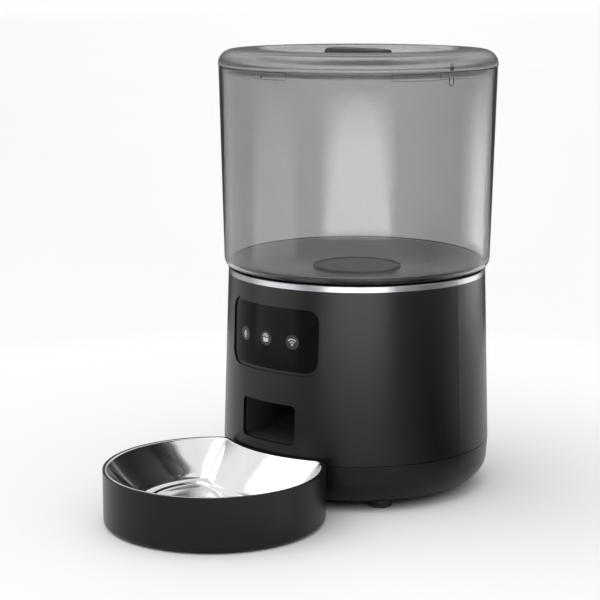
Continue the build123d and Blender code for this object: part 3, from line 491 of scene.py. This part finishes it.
def make_lid():
    top = lid_high.z
    seam = lid_low.z + LID_SEAT_GAP
    crest = lid_radius - CREST_INSET
    recess = crest - RECESS_SLOPE
    sunk = top - RECESS_DEPTH
    step = lid_radius - LID_STEP
    outline = [(lid_radius - LID_LAND, seam), (step, seam, 0.2 * MM), (step, seam + 0.5 * MM),
               (lid_radius, seam + 0.5 * MM, 0.3 * MM), (lid_radius, top - 1.2 * MM, LID_SHOULDER),
               (crest, top, 5 * MM), (recess, sunk, 7 * MM), (0.01 * MM, sunk), (0.01 * MM, sunk - LID_WALL),
               (recess + 1.2 * MM, sunk - LID_WALL, 4 * MM), (crest + 2.5 * MM, top - LID_WALL, 2 * MM),
               (lid_radius - LID_WALL, top - LID_WALL - 1.2 * MM, 6 * MM),
               (lid_radius - LID_WALL - 0.8 * MM, seam + 1.5 * MM), (lid_radius - LID_LAND, seam + 1.5 * MM)]
    lid = lathe("lid_dome", outline, "lid", ["lid_cap"], steps=14)
    finish_with(lid, "tank_smoke", "lid_smoke")
    make_grip(sunk, top)


def make_grip(sunk, top):
    """Finger bar across the sunk top, wider at its foot and rounded by subdivision."""
    mesh = bmesh.new()
    bmesh.ops.create_cube(mesh, size=1.0)
    lift = top - sunk + 0.2 * MM
    for vertex in mesh.verts:
        vertex.co = Vector((vertex.co.x * GRIP_LENGTH, vertex.co.y * GRIP_WIDTH, (vertex.co.z + 0.5) * lift))
        if vertex.co.z < lift / 2:
            vertex.co.x *= GRIP_FLARE_ALONG
            vertex.co.y *= GRIP_FLARE_ACROSS
    bmesh.ops.bevel(mesh, geom=mesh.edges[:], offset=2.2 * MM, segments=2, affect="EDGES", profile=0.6)
    data = bpy.data.meshes.new("grip_bar")
    mesh.to_mesh(data)
    mesh.free()
    data.transform(Matrix.Translation((axis.x, axis.y, sunk - 0.3 * MM)))
    grip = link("grip_bar", data)
    data.shade_smooth()
    modifier = grip.modifiers.new("smooth", "SUBSURF")
    modifier.levels = modifier.render_levels = 2
    placed(grip, "lid")
    finish_with(grip, "tank_smoke", "grip_smoke")


def make_outlet_painted_light_and_shade():
    """Pale sleeve of painted light inside the outlet neck, whose wall is dark hopper plastic, under a thin
    dark rim of painted shade along the hole's edge.
    """
    brim = ring_high.z - 1.0 * MM + 0.5 * MM
    foot = floor_low.z + 0.4 * MM
    inner, outer = NECK_RADIUS - 0.6 * MM, NECK_RADIUS + 0.1 * MM
    # pale sleeve of painted light on the neck's wall
    painted_light_sleeve = lathe("outlet_painted_light_sleeve", [(inner, foot), (inner, brim, 0.2 * MM), (outer, brim), (outer, foot)],
                   "tank")
    finish_with(painted_light_sleeve, "hopper_dark", "neck_painted_light_grey")
    # dark rim of painted shade along the edge of the outlet hole
    inner, outer = NECK_RADIUS - RIM_HALF_WIDTH, NECK_RADIUS + RIM_HALF_WIDTH
    low, high = brim - 0.2 * MM, brim + 0.5 * MM
    rim = lathe("outlet_rim", [(inner, low), (outer, low), (outer, high, 0.2 * MM), (inner, high, 0.2 * MM)],
                "tank")
    finish_with(rim, "hopper_dark", "dark_print_and_painted_shade")


def make_floor_edge_shade():
    """Thin dark line of painted shade round the edge of the tank's floor, which is dark hopper plastic there
    too.
    """
    outer = (floor_high.x - floor_low.x) / 2 - 0.2 * MM
    inner = outer - EDGE_SHADE_WIDTH
    low, high = floor_high.z - EDGE_SHADE_HALF_HEIGHT, floor_high.z + EDGE_SHADE_HALF_HEIGHT
    edge_shade = lathe("floor_edge_painted_shade", [(inner, low), (outer, low), (outer, high, 0.1 * MM), (inner, high, 0.1 * MM)],
                 "tank")
    finish_with(edge_shade, "hopper_dark", "dark_print_and_painted_shade")


# ---- steel bowl ----
BOWL_RIM_WIDTH = 1.4 * MM
BOWL_SHEET = 0.8 * MM
HOUSING_GAP = 0.9 * MM
# inset from the rim, rise above the rim's top and rounding of the horns, in millimetres
BOWL_RIM = [(0.0, -0.8, 8.5), (0.0, -0.25, 8.5), (0.12, -0.06, 8.4), (0.35, 0.0, 8.2), (1.3, 0.0, 7.4),
            (1.75, -0.12, 7.0), (2.1, -0.5, 6.8), (2.45, -1.0, 6.6)]
BOWL_FOOT = [(21.4, -21.5, 5.0), (22.2, -22.3, 4.9), (23.2, -22.95, 4.8), (24.3, -23.3, 4.6),
             (25.6, -23.4, 4.4), (26.6, -23.45, 4.2), (27.2, -23.7, 4.1), (27.6, -24.2, 4.0),
             (28.1, -24.75, 3.9), (28.9, -25.0, 3.8)]


def crescent(reach, radius, bite, corner):
    """Round outline with the housing's curve bitten out and its horns rounded.

    It has the same number of points at any size, so outlines can be joined row by row.
    """
    middle = Vector((0, -reach))
    inner, outer = bite + corner, radius - corner
    along = (inner * inner - outer * outer + reach * reach) / (2 * reach)
    aside = math.sqrt(inner * inner - along * along)
    horn = Vector((aside, -along))
    to_bay = (-horn).normalized()
    to_rim = (horn - middle).normalized()
    bay_half = math.atan2(aside, along)
    bay = [Vector((bite * math.sin(bay_half * t), -bite * math.cos(bay_half * t))) for t in spread(-1, 1, 40)]
    start = math.atan2(to_bay.y, to_bay.x)
    end = math.atan2(to_rim.y, to_rim.x)
    right = [horn + corner * Vector((math.cos(a), math.sin(a))) for a in spread(start, end, 14)]
    rim_half = math.atan2(to_rim.x, to_rim.y)
    front = [middle + radius * Vector((math.sin(a), math.cos(a)))
             for a in spread(rim_half, TAU - rim_half, 120)]
    left = [Vector((-q.x, q.y)) for q in reversed(right)]
    return bay + right[1:] + front[1:] + left[1:-1]


def spread(start, end, steps):
    return [start + (end - start) * k / steps for k in range(steps + 1)]


def make_bowl():
    """Drawn sheet bowl: turned rim, flared wall, stepped foot and flat floor."""
    low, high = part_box("steel_bowl")
    radius = (high.x - low.x) / 2
    reach = axis.y - (low.y + radius)
    bite = seam_radius + HOUSING_GAP + BOWL_RIM_WIDTH
    top = high.z
    floor = low.z + BOWL_SHEET
    depth = top - floor
    wall = [(2.45 + 18.2 * t, -1.0 - 19.6 * t - 0.9 * math.sin(math.pi * t), 6.6 - 1.4 * t)
            for t in spread(0, 1, 10)]
    rows = BOWL_RIM + wall[1:] + BOWL_FOOT + [(30.0, -depth / MM, 3.6)]
    under = [(max(inset + 0.55, 0.0), rise - 0.8, corner)
             for inset, rise, corner in reversed(rows[len(BOWL_RIM) - 1:])]
    under = [(inset, max(rise, -(depth + BOWL_SHEET) / MM), corner) for inset, rise, corner in under]
    loops = [(crescent(reach, radius - inset * MM, bite + inset * MM, corner * MM), top + rise * MM)
             for inset, rise, corner in under + rows]
    vertices, faces = [], []
    count = len(loops[0][0])
    for outline, height in loops:
        vertices += [(axis.x + q.x, axis.y + q.y, height) for q in outline]
    for row in range(len(loops) - 1):
        for i in range(count):
            j = (i + 1) % count
            faces.append((row * count + i, row * count + j, (row + 1) * count + j, (row + 1) * count + i))
    for row, height in ((0, loops[0][1]), (len(loops) - 1, floor)):
        vertices.append((axis.x, axis.y - reach, height))
        middle = len(vertices) - 1
        faces += [(row * count + i, row * count + (i + 1) % count, middle) for i in range(count)]
    bowl = mesh_from("bowl_sheet", vertices, faces)
    tidy_normals(bowl, BOWL_SHARP)
    placed(bowl, "steel_bowl", ["steel_bowl"])
    finish_with(bowl, "bowl_steel")


# ---- printed and moulded signs ----
class Sign:
    """Thin raised sign built from strokes and filled shapes in millimetres across and up."""

    def __init__(self, place, thickness=0.06 * MM):
        self.place = place
        self.thickness = thickness
        self.mesh = bmesh.new()

    def slab(self, loops):
        """Closed thin slab from matching outline loops that are joined side by side."""
        count = len(loops[0])
        rings = []
        for lift in (0.0, self.thickness):
            rings.append([[self.mesh.verts.new(self.place(u * MM, v * MM, lift)) for u, v in loop]
                          for loop in loops])
        (low_outer, low_inner), (high_outer, high_inner) = rings
        for i in range(count):
            j = (i + 1) % count
            for quad in ((high_outer[i], high_outer[j], high_inner[j], high_inner[i]),
                         (low_outer[j], low_outer[i], low_inner[i], low_inner[j]),
                         (low_outer[i], low_outer[j], high_outer[j], high_outer[i]),
                         (low_inner[j], low_inner[i], high_inner[i], high_inner[j])):
                self.mesh.faces.new(quad)

    def filled(self, outline):
        """Solid shape, star-shaped about its middle."""
        middle = Vector((sum(p[0] for p in outline), sum(p[1] for p in outline))) / len(outline)
        inner = [middle + (Vector(p) - middle) * 0.02 for p in outline]
        self.slab((outline, inner))

    def stroke(self, points, width):
        """Band of even width along an open line, with square ends."""
        points = [Vector(p) for p in points]
        left, right = [], []
        for i, point in enumerate(points):
            along = (points[min(i + 1, len(points) - 1)] - points[max(i - 1, 0)]).normalized()
            side = Vector((-along.y, along.x)) * (width / 2)
            left.append(point + side)
            right.append(point - side)
        for i in range(len(points) - 1):
            corners = (right[i], right[i + 1], left[i + 1], left[i])
            self.filled(corners)

    def finish(self, name, body, slot, material):
        bmesh.ops.remove_doubles(self.mesh, verts=self.mesh.verts, dist=1e-8)
        bmesh.ops.recalc_face_normals(self.mesh, faces=self.mesh.faces)
        data = bpy.data.meshes.new(name)
        self.mesh.to_mesh(data)
        self.mesh.free()
        piece = placed(link(name, data), body)
        finish_with(piece, slot, material)


def arc(centre, radius, start, end, steps=16):
    turns = [math.radians(start + (end - start) * k / steps) for k in range(steps + 1)]
    return [(centre[0] + radius * math.cos(t), centre[1] + radius * math.sin(t)) for t in turns]


def cap_place(button):
    """Map from a sign's own plane to a button's flat face, outward from the housing."""
    press = next(j for j in frame["record"]["behaviour"]["joints"] if j["child"] == button)
    inward = Vector(press["axis"])
    across = Vector((inward.y, -inward.x, 0))
    low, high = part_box(button)
    mesh = frame["nodes"][button].data
    face = max((v.co - axis).dot(-inward) for v in mesh.vertices)
    middle = Vector((axis.x, axis.y, (low.z + high.z) / 2)) - inward * face
    return lambda u, v, lift: middle + across * u + Vector((0, 0, v)) - inward * (lift - 0.01 * MM)


def record_sign():
    sign = Sign(cap_place("record_button"))
    sign.filled(arc((0, 1.3), 0.85, 0, 180) + arc((0, -0.1), 0.85, 180, 360))
    sign.stroke(arc((0, 0.1), 1.75, 190, 350), 0.45)
    sign.stroke([(0, -1.65), (0, -2.5)], 0.45)
    sign.stroke([(-1.0, -2.6), (1.0, -2.6)], 0.45)
    sign.finish("record_sign", "record_button", "button_plastic", "printed_white")


def feed_sign():
    """A cup heaped with food."""
    sign = Sign(cap_place("feed_button"))
    sign.filled([(-2.6, 0.4), (-2.1, -2.0), (-1.6, -2.4), (1.6, -2.4), (2.1, -2.0), (2.6, 0.4)])
    sign.stroke(arc((0, 0.9), 2.3, 10, 170), 0.6)
    for x, y in ((-0.9, 1.5), (0.9, 1.5), (0, 2.1)):
        sign.filled(arc((x, y), 0.45, 0, 337, 15))
    sign.finish("feed_sign", "feed_button", "button_plastic", "printed_white")


def network_sign():
    sign = Sign(cap_place("network_button"))
    for radius in (2.1, 4.0):
        sign.stroke(arc((0, -1.9), radius, 42, 138), 0.75)
    sign.filled(arc((0, -1.7), 0.75, 0, 337, 15))
    sign.finish("network_sign", "network_button", "button_plastic", "printed_white")


def round_place(radius, angle, height):
    """Map from a sign's own plane onto an upright round wall, angle from the front towards +X."""
    turn = math.radians(angle)

    def place(u, v, lift):
        reach = radius + lift - 0.02 * MM
        around = turn + u / radius
        return axis + Vector((math.sin(around) * reach, -math.cos(around) * reach, height + v))

    return place


LOCK_ANGLE = 80.0
LUG_RADIUS = tank_top_radius - TANK_WALL - 0.5 * MM
# first and last angle from the front, then the depth of the lower and upper edge below the tank's top in mm
LUGS = ((-38.0, -21.5, 4.2, 1.4), (-21.0, -11.0, 4.6, 2.2), (-4.6, 11.5, 5.4, 0.8), (54.3, 75.3, 5.6, 1.2),
        (76.0, 90.5, 5.0, 0.8), (142.0, 163.0, 5.6, 1.2), (175.4, 191.5, 5.4, 0.8),
        (234.3, 255.3, 5.6, 1.2), (256.0, 270.5, 5.0, 0.8))


def lid_signs():
    lock = Sign(round_place(lid_radius, LOCK_ANGLE, lid_low.z + 2.7 * MM))
    lock.filled([(-1.7, -1.9), (1.7, -1.9), (1.7, 0.6), (-1.7, 0.6)])
    lock.stroke([(1.05, 0.6), (1.05, 1.3)] + arc((0, 1.3), 1.05, 0, 180, 10) + [(-1.05, 0.6)], 0.5)
    lock.finish("lock_sign", "lid", "tank_smoke", "dark_print_and_painted_shade")
    slot = Sign(round_place(tank_top_radius - 0.05 * MM, LOCK_ANGLE, tank_high.z - 6.2 * MM), 0.12 * MM)
    slot.stroke([(1.9, 3.0), (1.9, -1.2)] + arc((0, -1.2), 1.9, 0, -180, 14) + [(-1.9, 3.0)], 0.55)
    slot.finish("lock_slot", "tank", "tank_smoke", "dark_print_and_painted_shade")
    start = Sign(round_place(tank_top_radius - 0.03 * MM, 0.2, tank_high.z - 2.9 * MM), 0.1 * MM)
    start.filled([(-1.1, -1.6), (1.1, -1.6), (0, 1.9)])
    start.finish("start_sign", "tank", "tank_smoke", "dark_print_and_painted_shade")


def lock_lugs():
    """Outlines of the bayonet lugs that hold the lid, seen through the wall."""
    lugs = Sign(round_place(LUG_RADIUS, 0.0, tank_high.z), 0.2 * MM)
    for first, last, deep, shallow in LUGS:
        edge = [math.radians(angle) * LUG_RADIUS / MM for angle in spread(first, last, 10)]
        path = [(u, -deep) for u in edge] + [(u, -shallow) for u in reversed(edge)]
        lugs.stroke(path + path[:1], 0.3)
    lugs.finish("lock_lugs", "tank", "tank_smoke", "dark_print_and_painted_shade")


paint_cad_nodes()
make_tank()
make_lid()
make_outlet_painted_light_and_shade()
make_floor_edge_shade()
make_bowl()
record_sign()
feed_sign()
network_sign()
lid_signs()
lock_lugs()


# ---- room ----
CAMERA_DISTANCE = 1.2385
CAMERA_HEIGHT = 0.3627
CAMERA_SIDE = math.radians(40.917)
CAMERA_YAW = -0.0326
CAMERA_PITCH = 0.1862
LENS = 105.76
FLOOR_HALF = 40.0
CARD_HEIGHT = 0.012
CARD_STEPS = 16
# name, turn from the camera, half angle, near and far edge, glow, softness of the sides, start of the fade
CARDS = (("front_card", 1, 31, 0.72, 14.0, 9.0, 0.12, 0.35),
         ("side_card", 115, 24, 0.75, 8.0, 4.4, 0.4, 0.35),
         ("left_card", -72, 26, 0.6, 14.0, 3.0, 0.12, 0.35),
         ("body_front_card", 7, 26, 0.16, 0.62, 1.5, 0.4, 0.8),
         ("body_dark_card", 60, 34, 0.12, 1.2, 0.04, 0.4, 0.8),
         ("rear_left_dark_card", -157, 24, 0.5, 14.0, 0.12, 0.2, 0.95),
         ("rear_right_dark_card", 157, 24, 0.5, 14.0, 0.12, 0.2, 0.95))


def make_camera():
    data = bpy.data.cameras.new("camera")
    data.lens = LENS
    data.sensor_width = 36.0
    camera = bpy.data.objects.new("camera", data)
    bpy.context.scene.collection.objects.link(camera)
    camera.location = from_camera(0, CAMERA_DISTANCE, CAMERA_HEIGHT)
    heading = CAMERA_YAW - CAMERA_SIDE
    forward = Vector((math.sin(heading) * math.cos(CAMERA_PITCH), math.cos(heading) * math.cos(CAMERA_PITCH),
                      -math.sin(CAMERA_PITCH)))
    camera.rotation_euler = forward.to_track_quat("-Z", "Y").to_euler()
    bpy.context.scene.camera = camera


def make_room():
    half = FLOOR_HALF
    corners = [(-half, -half, 0), (half, -half, 0), (half, half, 0), (-half, half, 0)]
    floor = mesh_from("floor", corners, [(0, 1, 2, 3)])
    shader = Shader("pale_floor").set(Roughness=0.7, Specular_IOR_Level=0.2)
    tone = shader.material.node_tree
    place = shader.node("ShaderNodeTexCoord").outputs["Object"]
    clouds = noise(tone, 2.0, 2.0, place)
    shader.feed(blend_colours(tone, clouds, (0.90, 0.90, 0.90, 1), (0.92, 0.92, 0.92, 1)), "Base Color")
    floor.data.materials.append(shader.material)
    make_studio()


def make_studio():
    """Pale all round where it is seen; only reflections find that it falls away to a dim horizon."""
    world = bpy.data.worlds.new("studio")
    bpy.context.scene.world = world
    world.use_nodes = True
    tree = world.node_tree
    split = tree.nodes.new("ShaderNodeSeparateXYZ")
    tree.links.new(tree.nodes.new("ShaderNodeTexCoord").outputs["Generated"], split.inputs[0])
    lift = tree.nodes.new("ShaderNodeMapRange")
    lift.interpolation_type = "SMOOTHSTEP"
    for socket, value in zip(list(lift.inputs)[1:5], (0.10, 0.50, 0.05, 1.0)):
        socket.default_value = value
    tree.links.new(split.outputs["Z"], lift.inputs[0])
    background = tree.nodes["Background"]
    background.inputs["Color"].default_value = (1, 1, 1, 1)
    paths = tree.nodes.new("ShaderNodeLightPath").outputs
    seen = combine(tree, "MAXIMUM", paths["Is Camera Ray"], paths["Is Transmission Ray"])
    tree.links.new(combine(tree, "MAXIMUM", lift.outputs[0], seen), background.inputs["Strength"])


def from_camera(turn, distance, height):
    """Place at a turn from the camera's side of the object, to the camera's right when positive."""
    angle = CAMERA_SIDE + math.radians(turn)
    return axis + Vector((distance * math.sin(angle), -distance * math.cos(angle), height))


def make_lights():
    sky = bpy.data.lights.new("ceiling", "SUN")
    sky.energy = 0.75
    sky.angle = math.radians(60)
    lamp = bpy.data.objects.new("ceiling", sky)
    bpy.context.scene.collection.objects.link(lamp)
    lamp.rotation_euler = (axis - from_camera(-70, 1.0, 2.6)).to_track_quat("-Z", "Y").to_euler()
    for card in CARDS:
        floor_card(*card)


def floor_card(name, turn, half_angle, near, far, glow, softness, fade_from):
    """Wedge-shaped card near the floor that the upright glossy walls reflect, widest far away."""
    rows = [near * (far / near) ** share for share in spread(0, 1, CARD_STEPS)]
    turns = spread(turn - half_angle, turn + half_angle, CARD_STEPS)
    places = [from_camera(angle, distance, CARD_HEIGHT) for distance in rows for angle in turns]
    glow_card(name, places, glow, softness, fade_from)


def glow_card(name, places, glow, softness, fade_from):
    """Square grid of places lit evenly in the middle and softly faded out at its sides and far end.

    Only reflections see it.
    """
    steps = CARD_STEPS
    wide = steps + 1
    faces = [(j * wide + i, j * wide + i + 1, (j + 1) * wide + i + 1, (j + 1) * wide + i)
             for j in range(steps) for i in range(steps)]
    card = mesh_from(name, places, faces, smooth=False)
    uv = card.data.uv_layers.new(name="card")
    for loop, place in zip(card.data.loops, uv.data):
        row, column = divmod(loop.vertex_index, wide)
        place.uv = (column / steps, row / steps)
    material = bpy.data.materials.new(name)
    material.use_nodes = True
    tree = material.node_tree
    tree.nodes.remove(tree.nodes["Principled BSDF"])
    split = tree.nodes.new("ShaderNodeSeparateXYZ")
    tree.links.new(tree.nodes.new("ShaderNodeTexCoord").outputs["UV"], split.inputs[0])
    aside = combine(tree, "ABSOLUTE", combine(tree, "SUBTRACT", split.outputs["X"], 0.5), 0.0)
    side_fade = remap(tree, split.outputs["Y"], 0.0, 1.0, softness, 0.5)
    across = combine(tree, "DIVIDE", combine(tree, "SUBTRACT", 0.5, aside), side_fade)
    across = remap(tree, across, 0.0, 1.0)
    near_fade = remap(tree, split.outputs["Y"], 0.0, 0.04)
    far_fade = remap(tree, split.outputs["Y"], 1.0, fade_from)
    along = combine(tree, "MULTIPLY", near_fade, far_fade)
    mask = combine(tree, "MULTIPLY", across, along)
    emission = tree.nodes.new("ShaderNodeEmission")
    emission.inputs["Strength"].default_value = glow
    blend = tree.nodes.new("ShaderNodeMixShader")
    tree.links.new(mask, blend.inputs[0])
    tree.links.new(tree.nodes.new("ShaderNodeBsdfTransparent").outputs[0], blend.inputs[1])
    tree.links.new(emission.outputs[0], blend.inputs[2])
    tree.links.new(blend.outputs[0], tree.nodes["Material Output"].inputs["Surface"])
    card.data.materials.append(material)
    card.visible_camera = False
    card.visible_transmission = False
    card.visible_diffuse = False
    card.visible_shadow = False


make_camera()
make_room()
make_lights()
bpy.context.scene.view_settings.view_transform = "Standard"
